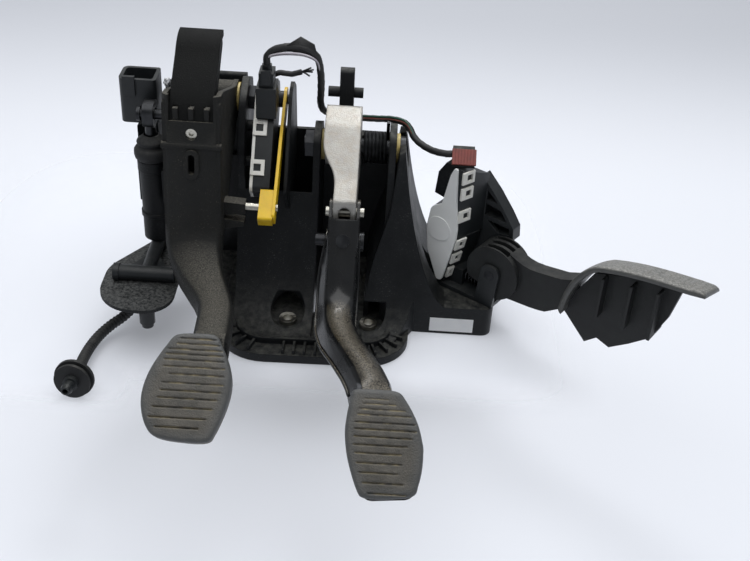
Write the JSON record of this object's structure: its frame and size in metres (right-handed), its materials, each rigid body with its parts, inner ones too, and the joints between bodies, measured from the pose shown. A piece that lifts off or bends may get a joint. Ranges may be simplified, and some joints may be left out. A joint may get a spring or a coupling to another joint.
{
  "type": "pedal box",
  "caption": "Car pedal box: moulded bulkhead bracket with hinged clutch, brake and accelerator pedals, clutch master cylinder, travel sensor and return springs.",
  "frame": {"origin": "middle of the four booster studs, on the bulkhead face of the flange", "axes": "+X to the right across the car, +Y up along the bulkhead, +Z out of the bulkhead into the cabin"},
  "size_m": [0.513, 0.3592, 0.2511],
  "materials": {
    "black_plastic": "moulded, fine grain",
    "dark_plastic": "moulded, smooth",
    "zinc_steel": "zinc plated",
    "black_steel": "black coat, gloss",
    "spring_steel": "oiled",
    "cast_aluminium": "cast, satin",
    "pad_rubber": "grooved, dusty",
    "hose_rubber": "smooth",
    "bush_plastic": "beige bearing plastic",
    "yellow_plastic": "smooth",
    "white_plastic": "smooth",
    "grey_plastic": "smooth",
    "red_plastic": "ribbed",
    "paper": "plain white sticker"
  },
  "bodies": {
    "bracket": {"bracket": "black_plastic", "bulkhead_seal": "hose_rubber", "stud_sleeves": "zinc_steel", "support_pin": "black_plastic", "label": "paper", "brake_shaft": "black_steel", "brake_bushes": "bush_plastic", "shaft_nuts": "black_steel", "brake_spring": "spring_steel", "clutch_shaft": "black_steel", "master_cylinder": "black_plastic", "cylinder_boot": "hose_rubber", "cylinder_sensor": "dark_plastic", "piston_spring": "spring_steel", "line_plate": "black_plastic", "line_pipe": "dark_plastic", "outlet_port": "dark_plastic", "feed_hose": "hose_rubber", "hose_grommet": "hose_rubber", "hose_nipple": "dark_plastic", "clutch_sensor": "dark_plastic", "sensor_cover": "white_plastic", "sensor_plug": "dark_plastic", "sensor_harness": "hose_rubber", "harness_stub": "hose_rubber", "accel_housing": "dark_plastic", "accel_cover": "grey_plastic", "accel_clips": "white_plastic", "accel_socket": "black_plastic", "accel_plug": "black_plastic", "accel_lock": "red_plastic", "accel_shaft": "black_steel", "accel_springs": "spring_steel", "accel_screws": "zinc_steel"},
    "clutch_pedal": {"clutch_arm": "black_plastic", "clutch_upper_lever": "dark_plastic", "clutch_pad": "pad_rubber", "clutch_bushes": "bush_plastic", "clutch_stud": "zinc_steel", "sensor_drive_rod": "zinc_steel", "pushrod_pin": "black_steel"},
    "sensor_lever": {"sensor_lever": "yellow_plastic"},
    "pushrod": {"pushrod": "black_steel", "master_piston": "cast_aluminium"},
    "brake_pedal": {"brake_lever": "cast_aluminium", "brake_arm": "black_steel", "brake_pad": "pad_rubber", "link_pin": "zinc_steel", "link_bolt": "black_steel", "booster_pin": "black_steel", "pin_clip": "zinc_steel"},
    "accelerator_pedal": {"accel_arm": "black_plastic", "accel_pad": "black_plastic"}
  },
  "joints": [
    {"name": "clutch_hinge", "type": "hinge", "parent": "bracket", "child": "clutch_pedal", "pos_m": [-0.1085, 0.05, 0.178], "axis": [1, 0, 0], "range_deg": [0, 21], "stiffness_Nm_per_rad": 5, "springref_deg": -17.19},
    {"name": "sensor_lever_hinge", "type": "hinge", "parent": "bracket", "child": "sensor_lever", "pos_m": [-0.0458, 0.05, 0.178], "axis": [1, 0, 0], "range_deg": [0, 21.2]},
    {"name": "pushrod_slide", "type": "slide", "parent": "bracket", "child": "pushrod", "axis": [0, 0, -1], "range_m": [0, 0.0152], "deforming": ["piston_spring", "cylinder_boot"]},
    {"name": "brake_hinge", "type": "hinge", "parent": "bracket", "child": "brake_pedal", "pos_m": [0.004, 0.04, 0.143], "axis": [1, 0, 0], "range_deg": [0, 15], "stiffness_Nm_per_rad": 8, "springref_deg": -17.19, "deforming": ["brake_spring"]},
    {"name": "accelerator_hinge", "type": "hinge", "parent": "bracket", "child": "accelerator_pedal", "pos_m": [0.14459, -0.00969, 0.06], "axis": [0.5736, 0.8192, 0], "range_deg": [0, 16], "stiffness_Nm_per_rad": 4, "springref_deg": -14.32, "deforming": ["accel_springs"]}
  ],
  "couplings": [
    {"joint": "sensor_lever_hinge", "follows": "clutch_hinge", "ratio": 1},
    {"joint": "pushrod_slide", "follows": "clutch_hinge", "m_per_rad": 0.041}
  ]
}
